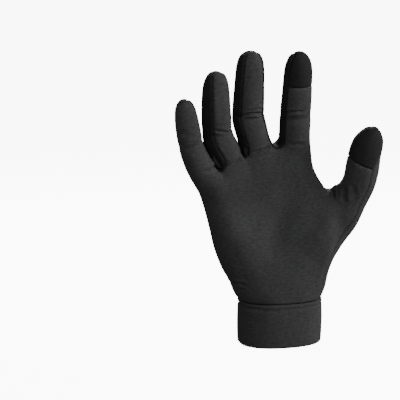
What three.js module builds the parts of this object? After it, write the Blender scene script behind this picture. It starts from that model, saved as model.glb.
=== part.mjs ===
// Knitted glove liner for a right hand, in the form it has when worn.
// Millimetres. The origin is the centre of the cuff's lower rim, +Z runs to the fingertips,
// the palm faces -Y, the thumb is on +X and the little finger on -X.
import * as THREE from 'three';

// Cuff: a band of doubled cloth with a folded hem.
const cuffWidth = 68.2;
const cuffDepth = 48;
const cuffHeight = 36.2;
const cuffWall = 2.0;

// Hand part, from the cuff seam to the webs of the fingers.
const palmHeight = 124;
const palmWidth = 96;
const palmDepth = 40;

// Fingers and thumb, from the web or thumb hole to the tip.
const littleLength = 66;
const littleWidth = 19.0;
const ringLength = 77.5;
const ringWidth = 22.2;
const middleLength = 83;
const middleWidth = 23.8;
const indexLength = 80.8;
const indexWidth = 23.4;
const thumbLength = 95;
const thumbWidth = 29.5;

// Cloth: one layer of knit, the space left at each seam, how far the seam sinks, and how much
// more the inner side is drawn back, a share of the outer side's draw.
const clothWall = 1.0;
const seamGap = 0.3;
const seamDip = 0.25;
const innerDraw = 0.9;

const columnsPerFinger = 2;
const fingerCount = 4;
const frontColumns = columnsPerFinger * fingerCount;
const corner = 2.35;

// Cross sections of the hand part. Height is a share of palmHeight, ulnar and radial reach are
// shares of palmWidth, front and back reach and the hollow of the palm are shares of palmDepth.
// Rise is how much higher the radial side sits than the ulnar one, a share of palmHeight. Gape
// is how far the radial corners open towards the thumb, from none at 0 to square at 1.
const palmRows = [
  { up: 0.000, rise: 0.000, ulnar: 0.358, radial: 0.358, front: 0.600, back: 0.600, hollow: 0.00, gape: 0.00 },
  { up: 0.050, rise: 0.000, ulnar: 0.400, radial: 0.388, front: 0.610, back: 0.575, hollow: 0.00, gape: 0.00 },
  { up: 0.118, rise: 0.005, ulnar: 0.440, radial: 0.407, front: 0.610, back: 0.525, hollow: 0.01, gape: 0.00 },
  { up: 0.200, rise: 0.010, ulnar: 0.493, radial: 0.431, front: 0.620, back: 0.480, hollow: 0.03, gape: 0.20 },
  { up: 0.350, rise: 0.020, ulnar: 0.571, radial: 0.458, front: 0.630, back: 0.440, hollow: 0.08, gape: 0.80 },
  { up: 0.515, rise: 0.050, ulnar: 0.617, radial: 0.452, front: 0.570, back: 0.410, hollow: 0.12, gape: 0.80 },
  { up: 0.664, rise: 0.115, ulnar: 0.650, radial: 0.380, front: 0.480, back: 0.385, hollow: 0.08, gape: 0.20 },
  { up: 0.775, rise: 0.150, ulnar: 0.684, radial: 0.280, front: 0.440, back: 0.340, hollow: 0.04, gape: 0.00 },
];
const thumbRows = { first: 3, last: 6 };

// Where the nine column lines stand across a section, from its ulnar to its radial side.
const columnSpread = [-0.90, -0.70, -0.47, -0.25, -0.03, 0.19, 0.40, 0.61, 0.81];

// The line where the fingers leave the hand: a row per column line. Across is a share of palmWidth,
// up a share of palmHeight, front and back shares of palmDepth.
const webColumns = [
  { across: -0.724, up: 0.772, front: -0.380, back: -0.105 },
  { across: -0.642, up: 0.818, front: -0.475, back: 0.015 },
  { across: -0.548, up: 0.846, front: -0.415, back: 0.085 },
  { across: -0.450, up: 0.892, front: -0.445, back: 0.150 },
  { across: -0.348, up: 0.930, front: -0.385, back: 0.185 },
  { across: -0.212, up: 0.958, front: -0.420, back: 0.235 },
  { across: -0.080, up: 0.984, front: -0.345, back: 0.210 },
  { across: 0.080, up: 0.965, front: -0.390, back: 0.235 },
  { across: 0.205, up: 0.925, front: -0.290, back: 0.120 },
];
const webSides = {
  ulnar: { across: -0.737, up: 0.762, y: -0.240 },
  radial: { across: 0.246, up: 0.918, y: -0.080 },
};
// The saddle between two fingers, as the same shares.
const crotches = [
  { across: -0.550, up: 0.866, y: -0.150 },
  { across: -0.347, up: 0.944, y: -0.080 },
  { across: -0.077, up: 1.000, y: -0.050 },
];

// Stations of each finger. Up, aside (+X) and ahead (-Y) are shares of the finger's length from
// the middle of its base; wide and deep are shares of its width; dent is how far a joint fold
// sinks into the front, a share of its width; edge is the angle of its seams from its sides.
const littleStations = [
  { up: 0.165, aside: -0.104, ahead: 0.080, wide: 1.18, deep: 1.06, dent: 0.00, edge: 45 },
  { up: 0.325, aside: -0.188, ahead: 0.140, wide: 1.10, deep: 1.00, dent: 0.00, edge: 45 },
  { up: 0.425, aside: -0.228, ahead: 0.170, wide: 1.05, deep: 0.96, dent: 0.01, edge: 45 },
  { up: 0.480, aside: -0.245, ahead: 0.185, wide: 1.01, deep: 0.92, dent: 0.05, edge: 45 },
  { up: 0.540, aside: -0.260, ahead: 0.203, wide: 1.02, deep: 0.93, dent: 0.00, edge: 45 },
  { up: 0.730, aside: -0.302, ahead: 0.252, wide: 0.98, deep: 0.88, dent: 0.01, edge: 45 },
  { up: 0.900, aside: -0.331, ahead: 0.292, wide: 0.82, deep: 0.75, dent: 0.00, edge: 42 },
  { up: 0.975, aside: -0.339, ahead: 0.314, wide: 0.45, deep: 0.45, dent: 0.00, edge: 36 },
  { up: 1.000, aside: -0.340, ahead: 0.322, wide: 0.00, deep: 0.00, dent: 0.00, edge: 36 },
];
const ringStations = [
  { up: 0.135, aside: -0.080, ahead: 0.060, wide: 1.09, deep: 1.00, dent: 0.00, edge: 45 },
  { up: 0.270, aside: -0.162, ahead: 0.118, wide: 1.10, deep: 0.98, dent: 0.00, edge: 45 },
  { up: 0.360, aside: -0.197, ahead: 0.148, wide: 1.07, deep: 0.96, dent: 0.01, edge: 45 },
  { up: 0.405, aside: -0.206, ahead: 0.163, wide: 1.04, deep: 0.92, dent: 0.06, edge: 45 },
  { up: 0.455, aside: -0.212, ahead: 0.180, wide: 1.03, deep: 0.93, dent: 0.00, edge: 45 },
  { up: 0.660, aside: -0.234, ahead: 0.240, wide: 1.00, deep: 0.89, dent: 0.01, edge: 45 },
  { up: 0.890, aside: -0.248, ahead: 0.296, wide: 0.86, deep: 0.78, dent: 0.00, edge: 42 },
  { up: 0.975, aside: -0.251, ahead: 0.316, wide: 0.50, deep: 0.45, dent: 0.00, edge: 36 },
  { up: 1.000, aside: -0.251, ahead: 0.324, wide: 0.00, deep: 0.00, dent: 0.00, edge: 36 },
];
const middleStations = [
  { up: 0.128, aside: -0.074, ahead: 0.050, wide: 1.07, deep: 0.98, dent: 0.00, edge: 45 },
  { up: 0.260, aside: -0.120, ahead: 0.104, wide: 1.08, deep: 0.98, dent: 0.00, edge: 45 },
  { up: 0.365, aside: -0.156, ahead: 0.138, wide: 1.08, deep: 0.96, dent: 0.01, edge: 45 },
  { up: 0.415, aside: -0.163, ahead: 0.152, wide: 1.06, deep: 0.92, dent: 0.07, edge: 45 },
  { up: 0.470, aside: -0.164, ahead: 0.168, wide: 1.04, deep: 0.93, dent: 0.00, edge: 45 },
  { up: 0.670, aside: -0.171, ahead: 0.226, wide: 0.99, deep: 0.88, dent: 0.02, edge: 45 },
  { up: 0.900, aside: -0.172, ahead: 0.274, wide: 0.86, deep: 0.78, dent: 0.00, edge: 42 },
  { up: 0.978, aside: -0.173, ahead: 0.288, wide: 0.48, deep: 0.47, dent: 0.00, edge: 36 },
  { up: 1.000, aside: -0.173, ahead: 0.292, wide: 0.00, deep: 0.00, dent: 0.00, edge: 36 },
];
const indexStations = [
  { up: 0.128, aside: -0.015, ahead: 0.044, wide: 1.09, deep: 1.00, dent: 0.00, edge: 45 },
  { up: 0.255, aside: -0.023, ahead: 0.085, wide: 1.06, deep: 0.98, dent: 0.00, edge: 45 },
  { up: 0.340, aside: -0.027, ahead: 0.110, wide: 1.07, deep: 0.97, dent: 0.01, edge: 45 },
  { up: 0.388, aside: -0.030, ahead: 0.125, wide: 1.05, deep: 0.93, dent: 0.06, edge: 45 },
  { up: 0.442, aside: -0.033, ahead: 0.145, wide: 1.05, deep: 0.94, dent: 0.00, edge: 45 },
  { up: 0.682, aside: -0.040, ahead: 0.214, wide: 0.99, deep: 0.89, dent: 0.00, edge: 45 },
  { up: 0.890, aside: -0.042, ahead: 0.260, wide: 0.86, deep: 0.78, dent: 0.00, edge: 42 },
  { up: 0.975, aside: -0.045, ahead: 0.277, wide: 0.42, deep: 0.41, dent: 0.00, edge: 36 },
  { up: 1.000, aside: -0.046, ahead: 0.283, wide: 0.00, deep: 0.00, dent: 0.00, edge: 36 },
];

// The fingers from the little finger to the index finger. Root is the middle of the base, as
// shares of palmWidth, palmDepth and palmHeight. Twist turns the finger's front towards the
// thumb, in degrees, as in a relaxed hand.
const fingers = [
  { length: littleLength, width: littleWidth, twist: 30, stations: littleStations,
    root: { across: -0.635, y: -0.208, up: 0.798 } },
  { length: ringLength, width: ringWidth, twist: 24, stations: ringStations,
    root: { across: -0.418, y: -0.132, up: 0.871 } },
  { length: middleLength, width: middleWidth, twist: 9, stations: middleStations,
    root: { across: -0.187, y: -0.081, up: 0.943 } },
  { length: indexLength, width: indexWidth, twist: -8, stations: indexStations,
    root: { across: 0.098, y: -0.073, up: 0.952 } },
];
const thumbRoot = { across: 0.387, y: -0.068, up: 0.446 };
const indexPadFrom = 5;

// Stations of the thumb. Aside, ahead and up are shares of thumbLength from the middle of the
// thumb hole; wide and deep are shares of thumbWidth; lean is the angle of the line from the
// inner to the outer side, in degrees; wrap is how far the outer seam turns to the back there.
const thumbStations = [
  { aside: 0.083, ahead: 0.036, up: 0.110, wide: 1.62, deep: 1.02, lean: -77, wrap: 4, dent: 0.00 },
  { aside: 0.163, ahead: 0.078, up: 0.212, wide: 1.33, deep: 0.98, lean: -66, wrap: 2, dent: 0.00 },
  { aside: 0.202, ahead: 0.112, up: 0.333, wide: 1.08, deep: 0.94, lean: -52, wrap: -4, dent: 0.02 },
  { aside: 0.234, ahead: 0.140, up: 0.435, wide: 1.03, deep: 0.89, lean: -36, wrap: -7, dent: 0.00 },
  { aside: 0.253, ahead: 0.171, up: 0.577, wide: 0.98, deep: 0.84, lean: -21, wrap: -10, dent: 0.00 },
  { aside: 0.260, ahead: 0.188, up: 0.672, wide: 0.88, deep: 0.79, lean: -13, wrap: 18, dent: 0.00 },
  { aside: 0.284, ahead: 0.206, up: 0.785, wide: 0.79, deep: 0.69, lean: -7, wrap: 34, dent: 0.00 },
  { aside: 0.299, ahead: 0.216, up: 0.860, wide: 0.42, deep: 0.40, lean: -2, wrap: 40, dent: 0.00 },
  { aside: 0.301, ahead: 0.218, up: 0.881, wide: 0.00, deep: 0.00, lean: 0, wrap: 40, dent: 0.00 },
];
// Where the ten lines of the thumb stand around it, in degrees from its outer side to its front:
// the outer seam, outer side, back seam of the hole, back, inner seam, inner side and front.
const thumbAngles = [60, 8, -40, -73, -106, -139, 180, 146, 117, 88];
const thumbPadFrom = 4;

// Folds and dents pressed into the cloth. From and to are points as shares: x of palmWidth,
// y of palmDepth, z of the height from the rim to the webs. Depth and spread are shares of
// palmDepth.
const folds = [
  { from: [-0.08, -0.48, 0.955], to: [-0.33, -0.52, 0.905], depth: 0.045, spread: 0.09 },
  { from: [-0.33, -0.52, 0.905], to: [-0.58, -0.56, 0.830], depth: 0.030, spread: 0.09 },
  { from: [0.39, -0.42, 0.770], to: [0.44, -0.62, 0.700], depth: 0.050, spread: 0.10 },
  { from: [-0.43, 0.00, 0.322], to: [-0.41, -0.25, 0.318], depth: 0.035, spread: 0.11 },
];

// Outline of the cuff's wall in section: out is a share of cuffWall, up a share of cuffHeight.
const cuffProfile = [
  { out: 0.50, up: 0.000 },
  { out: 0.90, up: 0.014 },
  { out: 1.00, up: 0.060 },
  { out: 1.12, up: 0.300 },
  { out: 1.16, up: 0.560 },
  { out: 1.08, up: 0.800 },
  { out: 0.98, up: 0.868 },
  { out: 0.72, up: 0.896 },
  { out: 0.98, up: 0.926 },
  { out: 1.00, up: 0.970 },
  { out: 0.72, up: 1.000 },
  { out: 0.10, up: 1.000 },
  { out: 0.00, up: 0.960 },
  { out: 0.00, up: 0.500 },
  { out: 0.00, up: 0.060 },
  { out: 0.12, up: 0.012 },
];

const colours = {
  palm_panel: 0x37373a,
  back_panel: 0x39393c,
  thumb_back_panel: 0x3b3b3e,
  fourchette_little_ring: 0x29292c,
  fourchette_ring_middle: 0x29292c,
  fourchette_middle_index: 0x29292c,
  index_touch_pad: 0x1b1b1d,
  thumb_touch_pad: 0x1b1b1d,
  cuff: 0x343437,
};
const fourchettes = ['fourchette_little_ring', 'fourchette_ring_middle', 'fourchette_middle_index'];

const shellFoot = cuffHeight + seamGap;

function vec(x, y, z) {
  return new THREE.Vector3(x, y, z);
}

function degrees(angle) {
  return angle * Math.PI / 180;
}

function power(value, exponent) {
  return Math.sign(value) * Math.pow(Math.abs(value), exponent);
}

// A cage of four-sided faces, each marked with the panel of cloth it belongs to.
const cagePoints = [];
const cageFaces = [];

function addPoint(point) {
  cagePoints.push(point);
  return cagePoints.length - 1;
}

function addFace(corners, panel) {
  cageFaces.push({ corners, panel });
}

function addBand(low, high, panelOf) {
  for (let i = 0; i < low.length; i += 1) {
    const next = (i + 1) % low.length;
    const panel = panelOf(i);
    if (panel) {
      addFace([low[i], low[next], high[next], high[i]], panel);
    }
  }
}

// One section of the hand part: nine points in front, one at each side and nine behind.
function palmSection(row) {
  const left = -row.ulnar * palmWidth;
  const right = row.radial * palmWidth;
  const front = -row.front * palmDepth;
  const back = row.back * palmDepth;
  const centreX = (left + right) / 2;
  const centreY = (front + back) / 2;
  const halfWidth = (right - left) / 2;
  const halfDepth = (back - front) / 2;
  const height = (across) => shellFoot + palmHeight * (row.up + row.rise * (across - 0.3) / 2);
  const section = { front: [], back: [] };
  for (const spread of columnSpread) {
    const round = Math.pow(1 - Math.pow(Math.abs(spread), corner), 1 / corner);
    const opened = row.gape * Math.max(0, (spread - 0.4) / 0.41);
    const bulge = round + (0.97 - round) * opened;
    const cup = row.hollow * palmDepth * Math.exp(-Math.pow((spread + 0.05) / 0.42, 2));
    const x = centreX + halfWidth * spread;
    section.front.push(addPoint(vec(x, centreY - halfDepth * bulge + cup, height(spread))));
    section.back.push(addPoint(vec(x, centreY + halfDepth * bulge, height(spread))));
  }
  section.left = addPoint(vec(left, centreY, height(-1)));
  section.right = addPoint(vec(right, centreY, height(1)));
  return section;
}

function handPoint(place) {
  return vec(place.across * palmWidth, place.y * palmDepth, shellFoot + palmHeight * place.up);
}

function webSection() {
  const z = (up) => shellFoot + palmHeight * up;
  const place = (side) => addPoint(handPoint(side));
  const section = { front: [], back: [] };
  for (const column of webColumns) {
    const x = column.across * palmWidth;
    section.front.push(addPoint(vec(x, column.front * palmDepth, z(column.up))));
    section.back.push(addPoint(vec(x, column.back * palmDepth, z(column.up - 0.012))));
  }
  section.left = place(webSides.ulnar);
  section.right = place(webSides.radial);
  section.crotches = crotches.map(place);
  return section;
}

function sectionLoop(section) {
  return [...section.front, section.right, ...[...section.back].reverse(), section.left];
}

// The four fingers and the thumb are tubes: a loop of points per station, closed by a small grid.
function tubeLoop(centre, side, front, wide, deep, angles, dent) {
  return angles.map((angle) => {
    const c = power(Math.cos(degrees(angle)), 2 / 2.15);
    const s = power(Math.sin(degrees(angle)), 2 / 2.15);
    const sunk = dent * Math.pow(Math.max(0, 0.35 + 0.65 * Math.sin(degrees(angle))), 2);
    const reach = 1 - 2 * sunk;
    const point = centre.clone();
    point.addScaledVector(side, wide / 2 * c * (1 - dent * 0.5));
    point.addScaledVector(front, deep / 2 * s * reach);
    return addPoint(point);
  });
}

function growFinger(finger, base, panelOf, backPanel) {
  const origin = handPoint(finger.root);
  const centres = finger.stations.map((s) => vec(
    origin.x + s.aside * finger.length,
    origin.y - s.ahead * finger.length,
    origin.z + s.up * finger.length,
  ));
  let low = base;
  finger.stations.forEach((station, k) => {
    const e = station.edge;
    const angles = [180 - e, 90, e, 0, -e, -90, e - 180, 180].map((angle) => angle - finger.twist);
    const before = k === 0 ? origin : centres[k - 1];
    const after = k === centres.length - 1 ? centres[k] : centres[k + 1];
    const along = after.clone().sub(before).normalize();
    const side = vec(along.z, 0, -along.x).normalize();
    const front = side.clone().cross(along).normalize();
    if (station.wide === 0) {
      const tip = addPoint(centres[k]);
      const [f0, f1, f2, r, b2, b1, b0, l] = low;
      addFace([f0, f1, tip, l], panelOf(0, k));
      addFace([f1, f2, r, tip], panelOf(1, k));
      addFace([l, tip, b1, b0], backPanel);
      addFace([tip, r, b2, b1], backPanel);
      return;
    }
    const wide = station.wide * finger.width;
    const deep = station.deep * finger.width;
    const loop = tubeLoop(centres[k], side, front, wide, deep, angles, station.dent);
    addBand(low, loop, (i) => panelOf(i, k));
    low = loop;
  });
}

function growThumb(base, panelOf) {
  const origin = handPoint(thumbRoot);
  const centres = thumbStations.map((s) => vec(
    origin.x + s.aside * thumbLength,
    origin.y - s.ahead * thumbLength,
    origin.z + s.up * thumbLength,
  ));
  let low = base;
  thumbStations.forEach((station, k) => {
    const before = k === 0 ? origin : centres[k - 1];
    const after = k === centres.length - 1 ? centres[k] : centres[k + 1];
    const along = after.clone().sub(before).normalize();
    const lean = degrees(station.lean);
    const side = vec(Math.cos(lean), 0, Math.sin(lean));
    const front = side.clone().cross(along).normalize();
    if (station.wide === 0) {
      const spine = vec(thumbWidth * 0.1, 0, 0);
      const outer = addPoint(centres[k].clone().add(spine));
      const inner = addPoint(centres[k].clone().sub(spine));
      const [fa, ra, ba, bb, bc, bd, rd, fd, fc, fb] = low;
      addFace([fa, ra, outer, fb], panelOf(9, k));
      addFace([fb, outer, inner, fc], panelOf(8, k));
      addFace([fc, inner, rd, fd], panelOf(7, k));
      addFace([ra, ba, bb, outer], panelOf(2, k));
      addFace([outer, bb, bc, inner], panelOf(3, k));
      addFace([inner, bc, bd, rd], panelOf(4, k));
      return;
    }
    const wide = station.wide * thumbWidth;
    const deep = station.deep * thumbWidth;
    const angles = thumbAngles.map((angle) => {
      const share = Math.max(0, 1 - Math.abs(angle - thumbAngles[0]) / 90);
      return angle - station.wrap * share;
    });
    const loop = tubeLoop(centres[k], side, front, wide, deep, angles, station.dent);
    addBand(low, loop, (i) => panelOf(i, k));
    low = loop;
  });
}

function buildCage() {
  const sections = palmRows.map(palmSection);
  const web = webSection();
  sections.push(web);
  for (let k = 0; k < sections.length - 1; k += 1) {
    addBand(sectionLoop(sections[k]), sectionLoop(sections[k + 1]), (i) => {
      const radial = i === frontColumns || i === frontColumns + 1;
      if (radial && k < thumbRows.first) {
        return 'thumb_back_panel';
      }
      if (radial && k < thumbRows.last) {
        return null;
      }
      return i > frontColumns && i < 2 * frontColumns + 2 ? 'back_panel' : 'palm_panel';
    });
  }
  fingers.forEach((finger, n) => {
    const f = n * columnsPerFinger;
    const radialSide = n === fingerCount - 1 ? web.right : web.crotches[n];
    const ulnarSide = n === 0 ? web.left : web.crotches[n - 1];
    const base = [
      web.front[f], web.front[f + 1], web.front[f + 2], radialSide,
      web.back[f + 2], web.back[f + 1], web.back[f], ulnarSide,
    ];
    const isIndex = n === fingerCount - 1;
    const panelOf = (i, k) => {
      if (isIndex && i <= 2) {
        return k > indexPadFrom ? 'index_touch_pad' : 'palm_panel';
      }
      if (i <= 1) {
        return 'palm_panel';
      }
      if (i <= 3) {
        return isIndex ? 'back_panel' : fourchettes[n];
      }
      if (i <= 5) {
        return 'back_panel';
      }
      return n === 0 ? 'palm_panel' : fourchettes[n - 1];
    };
    growFinger(finger, base, panelOf, 'back_panel');
  });
  const [a, b, c, d] = sections.slice(thumbRows.first, thumbRows.last + 1);
  const hole = [
    a.front[frontColumns], a.right, a.back[frontColumns], b.back[frontColumns],
    c.back[frontColumns], d.back[frontColumns], d.right, d.front[frontColumns],
    c.front[frontColumns], b.front[frontColumns],
  ];
  growThumb(hole, (i, k) => {
    if (i <= 4) {
      return 'thumb_back_panel';
    }
    return k > thumbPadFrom ? 'thumb_touch_pad' : 'palm_panel';
  });
}

// One step of smooth subdivision of a net of four-sided faces.
function edgeKey(a, b) {
  return a < b ? `${a}:${b}` : `${b}:${a}`;
}

function netOf(points, faces) {
  const edges = new Map();
  const around = points.map(() => ({ faces: [], edges: [] }));
  faces.forEach((face, f) => {
    face.corners.forEach((a, i) => {
      const b = face.corners[(i + 1) % 4];
      const key = edgeKey(a, b);
      if (!edges.has(key)) {
        edges.set(key, { a, b, faces: [] });
        around[a].edges.push(key);
        around[b].edges.push(key);
      }
      edges.get(key).faces.push(f);
      around[a].faces.push(f);
    });
  });
  return { edges, around };
}

function facePoints(points, faces) {
  return faces.map((face) => {
    const sum = vec(0, 0, 0);
    face.corners.forEach((id) => sum.add(points[id]));
    return sum.multiplyScalar(0.25);
  });
}

function cornerPoints(points, net, centres) {
  return points.map((point, id) => {
    const { faces, edges } = net.around[id];
    const open = edges.filter((key) => net.edges.get(key).faces.length === 1);
    const other = (key) => {
      const edge = net.edges.get(key);
      return points[edge.a === id ? edge.b : edge.a];
    };
    if (open.length) {
      const result = point.clone().multiplyScalar(0.75);
      open.forEach((key) => result.addScaledVector(other(key), 0.125));
      return result;
    }
    const n = faces.length;
    const result = point.clone().multiplyScalar((n - 2) / n);
    faces.forEach((f) => result.addScaledVector(centres[f], 1 / (n * n)));
    edges.forEach((key) => result.addScaledVector(other(key), 1 / (n * n)));
    return result;
  });
}

function subdivide(points, faces) {
  const net = netOf(points, faces);
  const centres = facePoints(points, faces);
  const fine = cornerPoints(points, net, centres);
  const firstCentre = fine.length;
  fine.push(...centres);
  const middles = new Map();
  net.edges.forEach((edge, key) => {
    const middle = points[edge.a].clone().add(points[edge.b]);
    if (edge.faces.length === 2) {
      middle.add(centres[edge.faces[0]]).add(centres[edge.faces[1]]).multiplyScalar(0.25);
    } else {
      middle.multiplyScalar(0.5);
    }
    middles.set(key, fine.length);
    fine.push(middle);
  });
  const fineFaces = [];
  faces.forEach((face, f) => {
    face.corners.forEach((id, i) => {
      const next = face.corners[(i + 1) % 4];
      const last = face.corners[(i + 3) % 4];
      const after = middles.get(edgeKey(id, next));
      const before = middles.get(edgeKey(last, id));
      fineFaces.push({ corners: [id, after, firstCentre + f, before], panel: face.panel });
    });
  });
  return { points: fine, faces: fineFaces };
}

// Moves the cage so that the smooth surface passes through the points of the tables.
function fitCage(points, faces, rounds) {
  const net = netOf(points, faces);
  const fitted = points.map((point) => point.clone());
  for (let round = 0; round < rounds; round += 1) {
    const reached = cornerPoints(fitted, net, facePoints(fitted, faces));
    fitted.forEach((point, id) => point.add(points[id]).sub(reached[id]));
  }
  return fitted;
}

function normalsOf(points, faces) {
  const normals = points.map(() => vec(0, 0, 0));
  faces.forEach((face) => {
    const [a, b, c, d] = face.corners.map((id) => points[id]);
    const normal = c.clone().sub(a).cross(d.clone().sub(b));
    face.corners.forEach((id) => normals[id].add(normal));
  });
  normals.forEach((normal) => normal.normalize());
  return normals;
}

// The same normals, each evened out with those of its neighbours.
function evenNormals(normals, faces) {
  const sums = normals.map((normal) => normal.clone());
  faces.forEach((face) => {
    const sum = vec(0, 0, 0);
    face.corners.forEach((id) => sum.add(normals[id]));
    face.corners.forEach((id) => sums[id].addScaledVector(sum, 0.25));
  });
  return sums.map((normal) => normal.normalize());
}

function distanceToLine(point, from, to) {
  const line = to.clone().sub(from);
  const along = point.clone().sub(from).dot(line) / line.lengthSq();
  return from.clone().addScaledVector(line, Math.min(1, Math.max(0, along))).distanceTo(point);
}

function pressFolds(surface) {
  const normals = normalsOf(surface.points, surface.faces);
  const height = shellFoot + palmHeight;
  const place = ([x, y, z]) => vec(x * palmWidth, y * palmDepth, z * height);
  const lines = folds.map((fold) => ({ ...fold, from: place(fold.from), to: place(fold.to) }));
  surface.points.forEach((point, id) => {
    let sunk = 0;
    lines.forEach((line) => {
      const away = distanceToLine(point, line.from, line.to) / (line.spread * palmDepth);
      sunk += line.depth * palmDepth * Math.exp(-away * away);
    });
    point.addScaledVector(normals[id], -sunk);
  });
}

// Boundary of a panel: for each of its corner points, the edges that arrive and leave.
function borderOf(faces) {
  const half = new Map();
  faces.forEach((face) => {
    face.corners.forEach((a, i) => {
      const b = face.corners[(i + 1) % 4];
      half.set(`${a}>${b}`, [a, b]);
    });
  });
  const border = [];
  half.forEach(([a, b]) => {
    if (!half.has(`${b}>${a}`)) {
      border.push([a, b]);
    }
  });
  return border;
}

// A panel is the part of the surface with its mark, given the thickness of the cloth and drawn
// back from its seams, a little more on its inner side, where the cloth bends together.
function panelGeometry(surface, normals, openRim, panel) {
  const faces = surface.faces.filter((face) => face.panel === panel);
  const border = borderOf(faces);
  const shift = new Map();
  border.forEach(([a, b]) => {
    const along = surface.points[b].clone().sub(surface.points[a]).normalize();
    [a, b].forEach((id) => {
      const inward = normals[id].clone().cross(along).normalize();
      if (!shift.has(id)) {
        shift.set(id, []);
      }
      if (!(openRim.has(a) && openRim.has(b))) {
        shift.get(id).push(inward);
      }
    });
  });
  const ids = [...new Set(faces.flatMap((face) => face.corners))];
  const order = new Map(ids.map((id, i) => [id, i]));
  const drawn = new Map();
  const outer = ids.map((id) => {
    const point = surface.points[id].clone();
    const inwards = shift.get(id) ?? [];
    if (inwards.length === 0) {
      return point;
    }
    const sum = inwards.reduce((total, one) => total.add(one), vec(0, 0, 0));
    const share = inwards.length === 2 ? Math.max(0.35, 1 + inwards[0].dot(inwards[1])) : 1;
    drawn.set(id, sum.multiplyScalar(seamGap / 2 / share));
    point.add(drawn.get(id));
    if (openRim.has(id)) {
      point.z = surface.points[id].z;
    }
    return point.addScaledVector(normals[id], openRim.has(id) ? 0 : -seamDip);
  });
  const inner = ids.map((id, i) => {
    const inside = outer[i].clone().addScaledVector(normals[id], -clothWall);
    if (drawn.has(id)) {
      inside.addScaledVector(drawn.get(id), innerDraw);
    }
    if (openRim.has(id)) {
      inside.z = outer[i].z;
    }
    return inside;
  });
  const points = [...outer, ...inner];
  const triangles = [];
  const quad = (a, b, c, d) => triangles.push(a, b, c, a, c, d);
  faces.forEach((face) => {
    const [a, b, c, d] = face.corners.map((id) => order.get(id));
    const n = ids.length;
    const short = points[a].distanceTo(points[c]) <= points[b].distanceTo(points[d]);
    if (short) {
      quad(a, b, c, d);
      quad(d + n, c + n, b + n, a + n);
    } else {
      quad(b, c, d, a);
      quad(a + n, d + n, c + n, b + n);
    }
  });
  border.forEach(([a, b]) => {
    const from = order.get(a);
    const to = order.get(b);
    quad(to, from, from + ids.length, to + ids.length);
  });
  return geometryOf(points, triangles);
}

function geometryOf(points, triangles) {
  const geometry = new THREE.BufferGeometry();
  const positions = new Float32Array(points.flatMap((point) => point.toArray()));
  geometry.setAttribute('position', new THREE.BufferAttribute(positions, 3));
  geometry.setIndex(triangles);
  geometry.computeVertexNormals();
  return geometry;
}

// The cuff: its wall's outline carried around the wrist.
function cuffGeometry() {
  const around = 4 * (frontColumns + 2);
  const points = [];
  const triangles = [];
  const rows = cuffProfile.length;
  for (let i = 0; i < around; i += 1) {
    const angle = 2 * Math.PI * i / around;
    const c = power(Math.cos(angle), 2 / corner);
    const s = power(Math.sin(angle), 2 / corner);
    for (const row of cuffProfile) {
      const out = (row.out - 1) * cuffWall;
      points.push(vec((cuffWidth / 2 + out) * c, (cuffDepth / 2 + out) * s, row.up * cuffHeight));
    }
  }
  for (let i = 0; i < around; i += 1) {
    const next = (i + 1) % around;
    for (let k = 0; k < rows; k += 1) {
      const up = (k + 1) % rows;
      const a = i * rows + k;
      const b = next * rows + k;
      const c = next * rows + up;
      const d = i * rows + up;
      triangles.push(a, b, c, a, c, d);
    }
  }
  return geometryOf(points, triangles);
}

function meshOf(name, geometry) {
  const material = new THREE.MeshStandardMaterial({ color: colours[name], roughness: 0.95, metalness: 0 });
  const mesh = new THREE.Mesh(geometry, material);
  mesh.name = name;
  return mesh;
}

function build() {
  buildCage();
  const surface = subdivide(fitCage(cagePoints, cageFaces, 4), cageFaces);
  pressFolds(surface);
  let normals = normalsOf(surface.points, surface.faces);
  for (let pass = 0; pass < 3; pass += 1) {
    normals = evenNormals(normals, surface.faces);
  }
  const openRim = new Set();
  netOf(surface.points, surface.faces).edges.forEach((edge) => {
    if (edge.faces.length === 1) {
      openRim.add(edge.a);
      openRim.add(edge.b);
    }
  });
  openRim.forEach((id) => {
    surface.points[id].z = shellFoot;
    normals[id].z = 0;
    normals[id].normalize();
  });
  const glove = new THREE.Group();
  glove.name = 'glove_liner';
  Object.keys(colours).forEach((name) => {
    const geometry = name === 'cuff' ? cuffGeometry() : panelGeometry(surface, normals, openRim, name);
    glove.add(meshOf(name, geometry));
  });
  return glove;
}

export default build();
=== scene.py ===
import math

import bmesh
import bpy
import numpy as np
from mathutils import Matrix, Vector
from mathutils.kdtree import KDTree


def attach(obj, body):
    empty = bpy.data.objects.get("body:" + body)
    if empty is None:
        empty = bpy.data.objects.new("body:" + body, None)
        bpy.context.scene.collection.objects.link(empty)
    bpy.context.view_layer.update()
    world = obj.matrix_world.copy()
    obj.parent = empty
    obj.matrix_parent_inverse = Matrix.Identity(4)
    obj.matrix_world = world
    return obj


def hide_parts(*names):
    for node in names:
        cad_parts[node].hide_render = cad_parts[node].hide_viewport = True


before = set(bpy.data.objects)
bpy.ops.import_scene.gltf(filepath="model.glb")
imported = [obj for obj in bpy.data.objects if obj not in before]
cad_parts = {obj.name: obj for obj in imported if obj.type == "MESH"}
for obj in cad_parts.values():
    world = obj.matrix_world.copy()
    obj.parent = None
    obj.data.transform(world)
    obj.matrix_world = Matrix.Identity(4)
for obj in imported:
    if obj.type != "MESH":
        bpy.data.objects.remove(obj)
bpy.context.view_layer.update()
mm = 0.001

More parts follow.
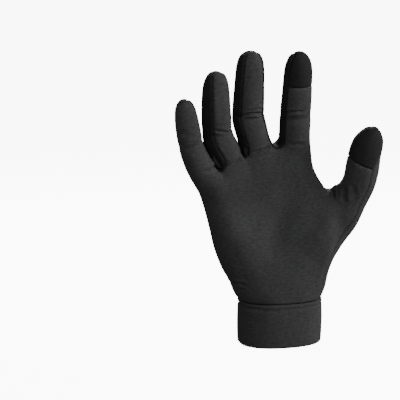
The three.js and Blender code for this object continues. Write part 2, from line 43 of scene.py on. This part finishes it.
# Camera. The liner is seen a little from its little finger's side and from slightly above, at
# about a metre, and it stands in the right half of a square picture.
picture_side = 400
metres_per_pixel = 0.79 * mm
camera_distance = 1.0
camera_azimuth = math.radians(-12)
camera_elevation = math.radians(12)
aim_height = 115.5 * mm
liner_column = 280.9
sensor_side = 36
to_camera = Vector((
    math.sin(camera_azimuth) * math.cos(camera_elevation),
    -math.cos(camera_azimuth) * math.cos(camera_elevation),
    math.sin(camera_elevation),
))
to_right = Vector((math.cos(camera_azimuth), math.sin(camera_azimuth), 0))
aim = Vector((0, 0, aim_height)) - to_right * (liner_column - picture_side / 2) * metres_per_pixel
camera_data = bpy.data.cameras.new("camera")
camera_data.sensor_width = sensor_side
camera_data.lens = sensor_side * camera_distance / (picture_side * metres_per_pixel)
camera_data.clip_start = 0.05
camera_data.clip_end = 80
camera = bpy.data.objects.new("camera", camera_data)
camera.location = aim + to_camera * camera_distance
camera.rotation_euler = to_camera.to_track_quat("Z", "Y").to_euler()
bpy.context.scene.collection.objects.link(camera)
bpy.context.scene.camera = camera

# Palm panel. One cut of fine charcoal jersey makes the palm, the fronts of the fingers and of
# the thumb, and the little finger's outer side. It is sewn to its neighbours edge to edge with
# the seams turned in, and creases where the joints and the webs pull on it.
cloth_thickness = 0.9 * mm
panel_levels = 3
same_point = 0.01 * mm
sharp_rim = math.radians(38)
seam_depth = 0.9 * mm
seam_width = 1.3 * mm
seam_curve = 1.6
allowance_depth = 0.7 * mm
allowance_reach = 1.9 * mm
allowance_evening = 6
roll_place = 2.0 * mm
roll_width = 0.9 * mm
pucker_height = 0.07 * mm
pucker_reach = 4.0 * mm
pucker_pitch = 3.1 * mm
pucker_run = np.array([1.0, 0.7, 1.0])
wave_count = 16
shortest_wave, longest_wave = 0.7, 1.9
taut_by_seams = 5 * mm
broad_fold = 4 * mm
crest_place, crest_width = 2.1, 0.9
wale_pitch = 1.0 * mm
course_pitch = 0.85 * mm
charcoal_yarn = (0.052, 0.052, 0.0525, 1)
charcoal_shade = (0.019, 0.019, 0.0195, 1)


def outer_skin(node):
    """The outer side of a panel's wall, up to its sharp outward rim, as four-sided faces."""
    skin = bmesh.new()
    skin.from_mesh(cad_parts[node].data)
    bmesh.ops.remove_doubles(skin, verts=skin.verts, dist=same_point)
    sheets = []
    seen = set()
    for start in skin.faces:
        if start in seen:
            continue
        seen.add(start)
        sheet, queue = [], [start]
        while queue:
            face = queue.pop()
            sheet.append(face)
            for edge in face.edges:
                if edge.is_convex and edge.calc_face_angle(math.pi) > sharp_rim:
                    continue
                for other in edge.link_faces:
                    if other not in seen:
                        seen.add(other)
                        queue.append(other)
        sheets.append(sheet)
    largest = set(max(sheets, key=lambda sheet: sum(face.calc_area() for face in sheet)))
    rest = [face for face in skin.faces if face not in largest]
    bmesh.ops.delete(skin, geom=rest, context="FACES")
    bmesh.ops.join_triangles(
        skin, faces=skin.faces, angle_face_threshold=math.pi, angle_shape_threshold=math.pi)
    return skin


def points_of(data):
    """The places of a mesh's points and the way each one faces."""
    place = np.zeros(len(data.vertices) * 3)
    data.vertices.foreach_get("co", place)
    facing = np.zeros(len(data.vertices) * 3)
    data.vertices.foreach_get("normal", facing)
    return place.reshape(-1, 3), facing.reshape(-1, 3)


def lay_out_flat(piece):
    """Unwraps a panel to its flat cut, in metres, with the wales running up the hand."""
    bpy.context.view_layer.objects.active = piece
    piece.select_set(True)
    bpy.ops.object.mode_set(mode="EDIT")
    bpy.ops.mesh.select_all(action="SELECT")
    bpy.ops.uv.unwrap(method="ANGLE_BASED", margin=0)
    bpy.ops.object.mode_set(mode="OBJECT")
    piece.select_set(False)
    data = piece.data
    flat = np.zeros(len(data.loops) * 2)
    data.uv_layers.active.data.foreach_get("uv", flat)
    flat = flat.reshape(-1, 2)
    corners = np.zeros(len(data.loops), int)
    data.loops.foreach_get("vertex_index", corners)
    place = points_of(data)[0][corners]
    step = np.linalg.norm(np.roll(place, 1, 0) - place, axis=1)
    flat_step = np.linalg.norm(np.roll(flat, 1, 0) - flat, axis=1)
    apart = flat_step > 1e-6
    ratio = np.median(step[apart] / flat_step[apart])
    rise = np.linalg.lstsq(np.c_[flat, np.ones(len(flat))], place[:, 2], rcond=None)[0]
    turn = math.atan2(rise[0], rise[1])
    cosine, sine = math.cos(turn), math.sin(turn)
    flat = ratio * flat @ np.array([[cosine, sine], [-sine, cosine]])
    data.uv_layers.active.data.foreach_set("uv", flat.ravel())


def push(piece, distance):
    """Moves each point of a piece outwards by its own distance."""
    place, facing = points_of(piece.data)
    moved = place + facing * distance[:, None]
    piece.data.vertices.foreach_set("co", moved.astype(np.float32).ravel())
    piece.data.update()


def settle(piece):
    """Replaces a piece's mesh by the one its modifiers make of it."""
    graph = bpy.context.evaluated_depsgraph_get()
    made = bpy.data.meshes.new_from_object(piece.evaluated_get(graph), depsgraph=graph)
    piece.modifiers.clear()
    old, piece.data = piece.data, made
    bpy.data.meshes.remove(old)


def smooth_cloth(piece, levels):
    """Replaces a piece's mesh by its subdivision surface."""
    modifier = piece.modifiers.new("smooth", "SUBSURF")
    modifier.levels = levels
    modifier.render_levels = levels
    modifier.boundary_smooth = "PRESERVE_CORNERS"
    settle(piece)


def thin_out(piece, share):
    """Keeps this share of a piece's faces and drops the flattest ones."""
    piece.modifiers.new("fewer faces", "DECIMATE").ratio = share
    settle(piece)


def distance_from_seams(piece):
    """How far each point lies from the panel's edge."""
    shell = bmesh.new()
    shell.from_mesh(piece.data)
    rim = [point.co.copy() for point in shell.verts if point.is_boundary]
    shell.free()
    tree = KDTree(len(rim))
    for i, point in enumerate(rim):
        tree.insert(point, i)
    tree.balance()
    return np.array([tree.find(point)[2] for point in points_of(piece.data)[0]])


def fold_heights(place, facing, folds):
    """How far the folds sink or lift the cloth. The broad ones shape only the palm's side."""
    moved = np.zeros(len(place))
    frontal = np.clip(-1.5 * facing[:, 1], 0, 1)
    for fold in folds:
        line = np.array(fold["line"], float) * mm
        width = fold["width"] * mm
        nearest = np.full(len(place), np.inf)
        along = np.zeros(len(place))
        runs = len(line) - 1
        for k in range(runs):
            run = line[k + 1] - line[k]
            share = np.clip(((place - line[k]) @ run) / (run @ run), 0, 1)
            gap = np.linalg.norm(place - line[k] - share[:, None] * run, axis=1)
            along = np.where(gap < nearest, (k + share) / runs, along)
            nearest = np.minimum(gap, nearest)
        if fold.get("starts_in_seam"):
            fade = np.clip((1 - along) * 2, 0, 1)
        else:
            fade = np.clip(np.sin(np.pi * np.clip(along, 0.03, 0.97)) * 1.6, 0, 1)
        if width > broad_fold:
            fade = fade * frontal
        valley = np.exp(-(nearest / width) ** 2)
        crest = np.exp(-((nearest - crest_place * width) / (crest_width * width)) ** 2)
        moved += fade * fold["depth"] * mm * (fold["ridge"] * crest - valley)
    return moved


def swells(place, height, size, seed):
    """Soft uneven swells of cloth that isn't quite taut."""
    dice = np.random.default_rng(seed)
    swell = np.zeros(len(place))
    for _ in range(wave_count):
        direction = dice.normal(size=3)
        direction /= np.linalg.norm(direction)
        length = size * dice.uniform(shortest_wave, longest_wave)
        swell += np.sin(place @ direction * 2 * np.pi / length + dice.uniform(0, 2 * np.pi))
    return height * swell / math.sqrt(wave_count)


def evened(ways, beside):
    """Each edge point's way, averaged with the ones beside it."""
    return {
        point: (2 * way + sum((ways[other] for other in beside[point]), Vector()))
        / (2 + len(beside[point]))
        for point, way in ways.items()
    }


def turn_in_edges(piece):
    """Turns the panel's edge inwards, as the allowance behind its seams."""
    shell = bmesh.new()
    shell.from_mesh(piece.data)
    shell.normal_update()
    rim = [edge for edge in shell.edges if edge.is_boundary]
    beside = {point: [] for edge in rim for point in edge.verts}
    outwards = {point: Vector() for point in beside}
    inwards = {point: -point.normal for point in beside}
    for edge in rim:
        face = edge.link_faces[0]
        side = (edge.verts[1].co - edge.verts[0].co).cross(face.normal).normalized()
        if side.dot(edge.verts[0].co - face.calc_center_median()) < 0:
            side.negate()
        for point in edge.verts:
            outwards[point] += side / 2
            beside[point].append(edge.other_vert(point))
    for _ in range(allowance_evening):
        outwards, inwards = evened(outwards, beside), evened(inwards, beside)
    made = bmesh.ops.extrude_edge_only(shell, edges=rim)["geom"]
    for point in [item for item in made if isinstance(item, bmesh.types.BMVert)]:
        joined = [edge.other_vert(point) for edge in point.link_edges]
        source = next(other for other in joined if other in beside)
        point.co += outwards[source] * allowance_reach + inwards[source] * allowance_depth
    shell.to_mesh(piece.data)
    shell.free()
    piece.data.update()


def dress(piece, swell_height, swell_size, seed, roll_height=0.0):
    """Gives a panel its swells, folds and puckered seams, and turns its edges in."""
    place, facing = points_of(piece.data)
    away = distance_from_seams(piece)
    inside = np.clip(away / taut_by_seams, 0, 1)
    moved = swells(place, swell_height, swell_size, seed) * inside * inside * (3 - 2 * inside)
    moved += fold_heights(place, facing, hand_folds)
    ripple = np.sin((place @ pucker_run) * 2 * np.pi / pucker_pitch)
    moved += pucker_height * ripple * np.clip(1 - away / pucker_reach, 0, 1)
    moved -= seam_depth * np.clip(1 - away / seam_width, 0, 1) ** seam_curve
    moved += roll_height * np.exp(-((away - roll_place) / roll_width) ** 2)
    push(piece, moved)
    turn_in_edges(piece)


def jersey_group():
    """Jersey: two slanting legs to a stitch, uneven courses, and loose fibres over them."""
    group = bpy.data.node_groups.new("jersey knit", "ShaderNodeTree")
    for name, kind, value in (
        ("Yarn", "NodeSocketColor", charcoal_yarn),
        ("Shade", "NodeSocketColor", charcoal_shade),
        ("Streak", "NodeSocketFloat", 1.0),
        ("Mottle", "NodeSocketFloat", 1.0),
    ):
        socket = group.interface.new_socket(name=name, in_out="INPUT", socket_type=kind)
        socket.default_value = value
    for name, kind in (
        ("Color", "NodeSocketColor"),
        ("Roughness", "NodeSocketFloat"),
        ("Height", "NodeSocketFloat"),
    ):
        group.interface.new_socket(name=name, in_out="OUTPUT", socket_type=kind)
    nodes, links = group.nodes, group.links
    given = nodes.new("NodeGroupInput")
    result = nodes.new("NodeGroupOutput")

    def work(operation, *values):
        node = nodes.new("ShaderNodeMath")
        node.operation = operation
        for i, value in enumerate(values):
            if isinstance(value, (int, float)):
                node.inputs[i].default_value = value
            else:
                links.new(value, node.inputs[i])
        return node.outputs[0]

    def grain(vector, scale, detail, roughness):
        node = nodes.new("ShaderNodeTexNoise")
        node.inputs["Scale"].default_value = scale
        node.inputs["Detail"].default_value = detail
        node.inputs["Roughness"].default_value = roughness
        links.new(vector, node.inputs["Vector"])
        return work("SUBTRACT", node.outputs[0], 0.5)

    cut = nodes.new("ShaderNodeUVMap")
    cut.uv_map = "cut"
    sides = nodes.new("ShaderNodeSeparateXYZ")
    links.new(cut.outputs["UV"], sides.inputs[0])
    solid = nodes.new("ShaderNodeTexCoord").outputs["Object"]

    shift = work("MULTIPLY", grain(solid, scale=260, detail=2, roughness=0.5), 0.5 * mm)
    across = work("DIVIDE", work("ADD", sides.outputs[0], shift), wale_pitch)
    up = work("DIVIDE", work("ADD", sides.outputs[1], shift), course_pitch)
    off_wale = work("SUBTRACT", work("FRACT", across), 0.5)
    from_middle = work("MULTIPLY", work("ABSOLUTE", off_wale), 2)
    off_leg = work("POWER", work("SUBTRACT", from_middle, 0.5), 2)
    leg = work("SUBTRACT", 1, work("MULTIPLY", off_leg, 4))
    slant = work("ADD", up, work("MULTIPLY", from_middle, 0.7))
    loop = work("MULTIPLY_ADD", work("SINE", work("MULTIPLY", slant, 2 * math.pi)), 0.5, 0.5)
    stitch = work("MULTIPLY", leg, work("MULTIPLY_ADD", loop, 0.6, 0.4))

    stretched = nodes.new("ShaderNodeMapping")
    stretched.inputs["Scale"].default_value = (0.38, 1.15, 1)
    links.new(cut.outputs["UV"], stretched.inputs["Vector"])
    courses = grain(stretched.outputs[0], scale=620, detail=3, roughness=0.6)
    streak = work("MULTIPLY", courses, given.outputs["Streak"])
    tufts = grain(solid, scale=520, detail=4, roughness=0.7)
    mottle = work("MULTIPLY", tufts, given.outputs["Mottle"])
    cloud = work("MULTIPLY", grain(solid, scale=55, detail=2, roughness=0.5), 0.35)
    fibre = grain(solid, scale=2600, detail=3, roughness=0.7)

    amount = work("MULTIPLY_ADD", stitch, 0.5, 0.32)
    for part in (streak, mottle, cloud):
        amount = work("ADD", amount, part)
    blend = nodes.new("ShaderNodeMix")
    blend.data_type = "RGBA"
    blend.clamp_factor = True
    dark, light = [socket for socket in blend.inputs if socket.type == "RGBA"]
    mixed = next(socket for socket in blend.outputs if socket.type == "RGBA")
    links.new(amount, blend.inputs[0])
    links.new(given.outputs["Shade"], dark)
    links.new(given.outputs["Yarn"], light)
    links.new(mixed, result.inputs["Color"])
    links.new(work("MULTIPLY_ADD", fibre, 0.25, 0.88), result.inputs["Roughness"])
    links.new(work("MULTIPLY_ADD", fibre, 0.35, stitch), result.inputs["Height"])
    return group


jersey = jersey_group()


def knit_material(name, yarn, shade, streak, mottle, relief, gloss):
    """A jersey of one yarn, with the depth of its stitches and how much it shines."""
    material = bpy.data.materials.new(name)
    material.use_nodes = True
    nodes, links = material.node_tree.nodes, material.node_tree.links
    shader = nodes["Principled BSDF"]
    shader.inputs["Specular IOR Level"].default_value = gloss
    knit = nodes.new("ShaderNodeGroup")
    knit.node_tree = jersey
    knit.inputs["Yarn"].default_value = yarn
    knit.inputs["Shade"].default_value = shade
    knit.inputs["Streak"].default_value = streak
    knit.inputs["Mottle"].default_value = mottle
    bump = nodes.new("ShaderNodeBump")
    bump.inputs["Strength"].default_value = 0.9
    bump.inputs["Distance"].default_value = relief
    links.new(knit.outputs["Height"], bump.inputs["Height"])
    links.new(knit.outputs["Color"], shader.inputs["Base Color"])
    links.new(knit.outputs["Roughness"], shader.inputs["Roughness"])
    links.new(bump.outputs["Normal"], shader.inputs["Normal"])
    return material


def sewn_panel(node, name, material):
    """A panel of the liner, smooth and in one layer, that stands for its node."""
    skin = outer_skin(node)
    data = bpy.data.meshes.new(name)
    skin.to_mesh(data)
    skin.free()
    piece = bpy.data.objects.new(name, data)
    bpy.context.scene.collection.objects.link(piece)
    while data.uv_layers:
        data.uv_layers.remove(data.uv_layers[0])
    data.uv_layers.new(name="cut")
    lay_out_flat(piece)
    smooth_cloth(piece, panel_levels)
    piece.data.shade_smooth()
    piece.data.materials.clear()
    piece.data.materials.append(material)
    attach(piece, "root")
    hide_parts(node)
    return piece


def give_thickness(piece):
    """The cloth's thickness, on its inner side."""
    wall = piece.modifiers.new("cloth", "SOLIDIFY")
    wall.thickness = cloth_thickness
    wall.offset = -1


# Each fold has its line, half width and depth in mm, and the share of a ridge beside it. A depth
# below nought lifts the cloth. These are the creases at the finger joints and, last, the fuller
# front of the ring finger.
finger_folds = [
    dict(line=[(-38.1, -24.3, 186.4), (-33.5, -27.4, 189.0),
               (-28.0, -27.1, 189.3), (-21.8, -22.8, 188.6)],
         width=1.1, depth=1.7, ridge=0.6),
    dict(line=[(-35.1, -27.6, 190.9), (-30.6, -28.2, 191.7),
               (-25.7, -27.2, 192.2), (-21.4, -23.8, 191.5)],
         width=0.9, depth=1.5, ridge=0.5),
    dict(line=[(-45.0, -16.5, 188.0), (-42.6, -20.2, 186.9),
               (-40.8, -22.3, 186.4), (-37.5, -24.6, 186.4)],
         width=1.8, depth=0.9, ridge=0.3),
    dict(line=[(-61.5, -26.5, 177.6), (-58.8, -28.6, 176.9),
               (-54.5, -28.3, 176.1), (-46.5, -23.0, 174.8)],
         width=1.1, depth=0.7, ridge=0.5),
    dict(line=[(-4.0, -19.5, 187.5), (-1.0, -23.5, 188.2),
               (4.1, -25.8, 188.8), (12.5, -24.3, 189.6)],
         width=1.1, depth=1.3, ridge=0.6),
    dict(line=[(-1.0, -24.5, 192.4), (5.0, -27.0, 192.0), (12.0, -25.5, 192.6)],
         width=0.8, depth=0.25, ridge=0.2),
    dict(line=[(0.5, -15.0, 161.4), (7.2, -17.9, 162.6), (15.6, -15.2, 161.6)],
         width=1.6, depth=0.7, ridge=0.4),
    dict(line=[(-89.5, -23.5, 176.7), (-84.1, -30.9, 175.8), (-75.0, -30.0, 173.0)],
         width=1.6, depth=0.35, ridge=0.3),
    dict(line=[(-62.0, -30.0, 221.0), (-62.2, -35.0, 204.8),
               (-61.6, -32.6, 193.3), (-61.0, -29.0, 180.0)],
         width=3.6, depth=-0.8, ridge=0.0),
]
# The creases that run from the webs, and the gathers of the strips between the fingers.
web_folds = [
    dict(line=[(-11.5, -13.4, 161.3), (-16.0, -16.2, 160.6),
               (-20.4, -17.1, 159.5), (-27.5, -17.1, 156.6)],
         width=1.1, depth=2.1, ridge=0.5),
    dict(line=[(-29.5, -17.3, 155.3), (-36.0, -17.7, 152.8),
               (-42.5, -17.7, 150.0), (-49.5, -17.5, 146.8)],
         width=1.5, depth=1.6, ridge=0.4),
    dict(line=[(-66.0, -23.2, 144.3), (-60.5, -20.5, 146.5), (-55.5, -17.5, 148.4)],
         width=1.4, depth=0.9, ridge=0.5),
    dict(line=[(-61.4, -21.4, 161.3), (-57.2, -20.2, 155.2), (-52.8, -17.9, 148.8)],
         width=0.8, depth=1.2, ridge=0.3),
    dict(line=[(-59.5, -19.9, 157.2), (-55.5, -17.9, 151.3), (-52.3, -15.7, 146.5)],
         width=0.8, depth=-2.2, ridge=0.5),
    dict(line=[(-57.5, -17.8, 152.9), (-54.2, -15.5, 148.1), (-51.6, -14.4, 144.3)],
         width=0.8, depth=1.2, ridge=0.3),
    dict(line=[(-61.0, -20.0, 153.0), (-59.0, -17.0, 151.3), (-58.0, -10.0, 151.5)],
         width=3.0, depth=-1.4, ridge=0.0),
    dict(line=[(-33.9, -15.7, 161.7), (-32.1, -14.5, 158.0), (-32.1, -13.0, 154.2)],
         width=0.8, depth=-2.2, ridge=0.5),
    dict(line=[(-34.9, -14.4, 161.5), (-33.6, -13.2, 158.2), (-32.5, -12.0, 154.8)],
         width=0.8, depth=1.2, ridge=0.3),
]
# The folds where the thumb leaves the palm.
thumb_folds = [
    dict(line=[(40.4, -11.0, 125.5), (39.6, -13.5, 122.0), (38.7, -17.2, 116.0)],
         width=1.3, depth=2.2, ridge=0.5, starts_in_seam=True),
    dict(line=[(45.3, -20.8, 128.0), (45.4, -21.6, 124.0), (45.4, -22.2, 115.0)],
         width=1.6, depth=1.4, ridge=0.5),
    dict(line=[(50.5, -26.0, 130.8), (51.5, -26.2, 126.0), (52.4, -25.9, 120.5)],
         width=1.6, depth=0.7, ridge=0.4),
    dict(line=[(46.5, -20.4, 149.5), (49.4, -25.9, 144.0), (51.4, -27.5, 138.5)],
         width=2.4, depth=0.3, ridge=0.2),
]
# The crease at the wrist.
wrist_folds = [
    dict(line=[(-42.5, 1.0, 51.0), (-40.9, -3.1, 51.3),
               (-38.0, -14.6, 53.4), (-31.0, -19.0, 52.4)],
         width=1.3, depth=1.2, ridge=0.5),
]
# The palm's broad forms: full below the little finger, hollow in the middle, full at the thumb.
palm_forms = [
    dict(line=[(-56.0, -15.5, 147.0), (-54.0, -15.5, 126.0),
               (-47.0, -17.0, 104.0), (-38.0, -20.5, 80.0)],
         width=12.0, depth=-3.0, ridge=0.0),
    dict(line=[(8.0, -16.5, 140.0), (0.0, -17.0, 115.0),
               (-8.0, -19.0, 96.0), (-15.0, -22.0, 70.0)],
         width=10.5, depth=2.5, ridge=0.0),
    dict(line=[(33.0, -14.0, 124.0), (38.0, -20.0, 109.0),
               (32.0, -21.0, 97.0), (14.0, -23.0, 72.0)],
         width=10.5, depth=-3.4, ridge=0.0),
]
hand_folds = finger_folds + web_folds + thumb_folds + wrist_folds + palm_forms
charcoal_knit = knit_material(
    "charcoal jersey", charcoal_yarn, charcoal_shade,
    streak=1.1, mottle=0.8, relief=0.12 * mm, gloss=0.15)
palm = sewn_panel("palm_panel", "palm_cloth", charcoal_knit)
dress(palm, swell_height=0.16 * mm, swell_size=26 * mm, seed=4)
thin_out(palm, share=0.86)
give_thickness(palm)

# Back panel. The back of the hand and the backs of the four fingers, cut from the same jersey
# in one piece and sewn to the strips between the fingers and along the little finger's edge.
back = sewn_panel("back_panel", "back_cloth", charcoal_knit)
dress(back, swell_height=0.18 * mm, swell_size=30 * mm, seed=5)
give_thickness(back)

# Thumb's back panel. A long piece of the same jersey that runs from the cuff round the thumb's
# outer side to its tip, with a seam on each side.
thumb_back = sewn_panel("thumb_back_panel", "thumb_back_cloth", charcoal_knit)
dress(thumb_back, swell_height=0.16 * mm, swell_size=24 * mm, seed=6)
give_thickness(thumb_back)

# Fourchettes. Three narrow strips of jersey, each folded over a web and sewn up the sides of the
# two fingers beside it. Their colour is painted far darker than the palm's, as painted shade in
# the narrow gaps between the fingers. The cloth rolls up beside those seams and gathers in the
# web.
# The strips' yarn and its darker tone are painted shade: the same jersey as the palm, made several
# times darker.
painted_shade_strip_yarn = (0.0185, 0.0185, 0.019, 1)
painted_shade_strip_dark_tone = (0.0062, 0.0062, 0.0064, 1)
strip_roll = 0.28 * mm
painted_shade_strip_knit = knit_material(
    "charcoal jersey with painted shade", painted_shade_strip_yarn, painted_shade_strip_dark_tone,
    streak=1.0, mottle=0.7, relief=0.12 * mm, gloss=0.12)
for fingers in ("little_ring", "ring_middle", "middle_index"):
    strip = sewn_panel("fourchette_" + fingers, "strip_" + fingers, painted_shade_strip_knit)
    dress(strip, swell_height=0.12 * mm, swell_size=18 * mm, seed=len(fingers),
          roll_height=strip_roll)
    give_thickness(strip)

# Touch pads. The ends of the index finger's front and of the thumb's front are knitted with a
# conductive yarn, which makes them nearly black, a little finer and a little smoother.
pad_yarn = (0.0165, 0.0165, 0.017, 1)
pad_shade = (0.0065, 0.0065, 0.007, 1)
pad_knit = knit_material(
    "touch pad jersey", pad_yarn, pad_shade,
    streak=0.9, mottle=0.7, relief=0.08 * mm, gloss=0.2)
for node, name in (("index_touch_pad", "index_pad"), ("thumb_touch_pad", "thumb_pad")):
    pad = sewn_panel(node, name, pad_knit)
    dress(pad, swell_height=0.08 * mm, swell_size=16 * mm, seed=len(name))
    give_thickness(pad)

# Cuff. A band of the same jersey folded double, with the fold as its lower edge. It is sewn to
# the hand at its top, and a pressed line runs below that seam: sunk on the little finger's side,
# a low ridge on the thumb's.
cuff_levels = 2
cuff_radius = 33 * mm
line_height = 31.0 * mm
line_sag = 1.6 * mm
line_width = 1.1 * mm
line_sunk, line_change = 0.7 * mm, 0.9 * mm
side_reach, side_middle = 60 * mm, 0.45
hem_swell = 0.12 * mm
hem_swell_size = 22 * mm
hem_swell_seed = 9
hem_reach = 8 * mm
band = bmesh.new()
band.from_mesh(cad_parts["cuff"].data)
bmesh.ops.remove_doubles(band, verts=band.verts, dist=same_point)
bmesh.ops.join_triangles(
    band, faces=band.faces, angle_face_threshold=math.pi, angle_shape_threshold=math.pi)
for layer in list(band.loops.layers.uv.values()):
    band.loops.layers.uv.remove(layer)
cut = band.loops.layers.uv.new("cut")
for face in band.faces:
    middle = face.calc_center_median()
    turn = math.atan2(middle.y, middle.x)
    for loop in face.loops:
        angle = math.atan2(loop.vert.co.y, loop.vert.co.x)
        angle += 2 * math.pi * round((turn - angle) / (2 * math.pi))
        loop[cut].uv = (angle * cuff_radius, loop.vert.co.z)
data = bpy.data.meshes.new("cuff_cloth")
band.to_mesh(data)
band.free()
cuff = bpy.data.objects.new("cuff_cloth", data)
bpy.context.scene.collection.objects.link(cuff)
smooth_cloth(cuff, cuff_levels)
cuff.data.shade_smooth()
place, facing = points_of(cuff.data)
plan = place[:, :2] / np.linalg.norm(place[:, :2], axis=1)[:, None]
outwards = np.clip((facing[:, :2] * plan).sum(axis=1), 0, 1)
thumb_side = np.clip(place[:, 0] / side_reach + side_middle, 0, 1)
line = line_height + line_sag * (place[:, 0] / cuff_radius) ** 2
pressed = np.exp(-((place[:, 2] - line) / line_width) ** 2)
below_line = np.clip((line_height - place[:, 2]) / hem_reach, 0, 1)
moved = outwards * pressed * (line_change * thumb_side - line_sunk)
moved += swells(place, hem_swell, hem_swell_size, hem_swell_seed) * outwards * below_line
push(cuff, moved)
cuff_knit = knit_material(
    "cuff jersey", charcoal_yarn, charcoal_shade,
    streak=1.1, mottle=0.8, relief=0.12 * mm, gloss=0.15)
cuff.data.materials.clear()
cuff.data.materials.append(cuff_knit)
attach(cuff, "root")
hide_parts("cuff")

# Floor and light. A wide white floor, far enough below the liner to take no shadow, and a pale
# sky that fills the shadows. Two soft lamps stand on the thumb's side, a weak one shines in from
# the little finger's side, and one lights the back.
floor_depth = 0.30
floor_reach = 30
white_glow = 9.0
sky_light = 0.18
white = (1, 1, 1, 1)
lamp_target = Vector((0, 0, 0.12))
floor_mesh = bpy.data.meshes.new("floor")
slab = bmesh.new()
bmesh.ops.create_grid(slab, x_segments=1, y_segments=1, size=floor_reach)
bmesh.ops.translate(slab, verts=slab.verts, vec=(0, 0, -floor_depth))
slab.to_mesh(floor_mesh)
slab.free()
floor = bpy.data.objects.new("floor", floor_mesh)
floor.visible_diffuse = False
floor.visible_glossy = False
bpy.context.scene.collection.objects.link(floor)
floor_paint = bpy.data.materials.new("white floor")
floor_paint.use_nodes = True
floor_shader = floor_paint.node_tree.nodes["Principled BSDF"]
floor_shader.inputs["Base Color"].default_value = (0.9, 0.9, 0.9, 1)
floor_shader.inputs["Roughness"].default_value = 0.9
floor_shader.inputs["Emission Color"].default_value = white
floor_shader.inputs["Emission Strength"].default_value = white_glow
floor_mesh.materials.append(floor_paint)

sky = bpy.data.worlds.new("studio")
sky.use_nodes = True
light_sky = sky.node_tree.nodes["Background"]
light_sky.inputs["Color"].default_value = white
light_sky.inputs["Strength"].default_value = sky_light
seen_sky = sky.node_tree.nodes.new("ShaderNodeBackground")
seen_sky.inputs["Color"].default_value = white
seen_sky.inputs["Strength"].default_value = white_glow
sky_mix = sky.node_tree.nodes.new("ShaderNodeMixShader")
light_path = sky.node_tree.nodes.new("ShaderNodeLightPath")
sky_links = sky.node_tree.links
sky_links.new(light_path.outputs["Is Camera Ray"], sky_mix.inputs[0])
sky_links.new(light_sky.outputs[0], sky_mix.inputs[1])
sky_links.new(seen_sky.outputs[0], sky_mix.inputs[2])
sky_links.new(sky_mix.outputs[0], sky.node_tree.nodes["World Output"].inputs["Surface"])
bpy.context.scene.world = sky

for name, place, size, power in (
    ("key", (2.08, -0.56, 0.58), 0.7, 44),
    ("front", (1.30, -1.44, 1.15), 0.7, 25),
    ("upper left", (-0.30, -0.55, 0.34), 0.25, 1.3),
    ("behind", (0.42, 1.96, 1.05), 0.9, 60),
):
    light = bpy.data.lights.new(name, "AREA")
    light.shape = "SQUARE"
    light.size = size
    light.energy = power
    lamp = bpy.data.objects.new(name, light)
    lamp.location = place
    lamp.rotation_euler = (Vector(place) - lamp_target).to_track_quat("Z", "Y").to_euler()
    bpy.context.scene.collection.objects.link(lamp)
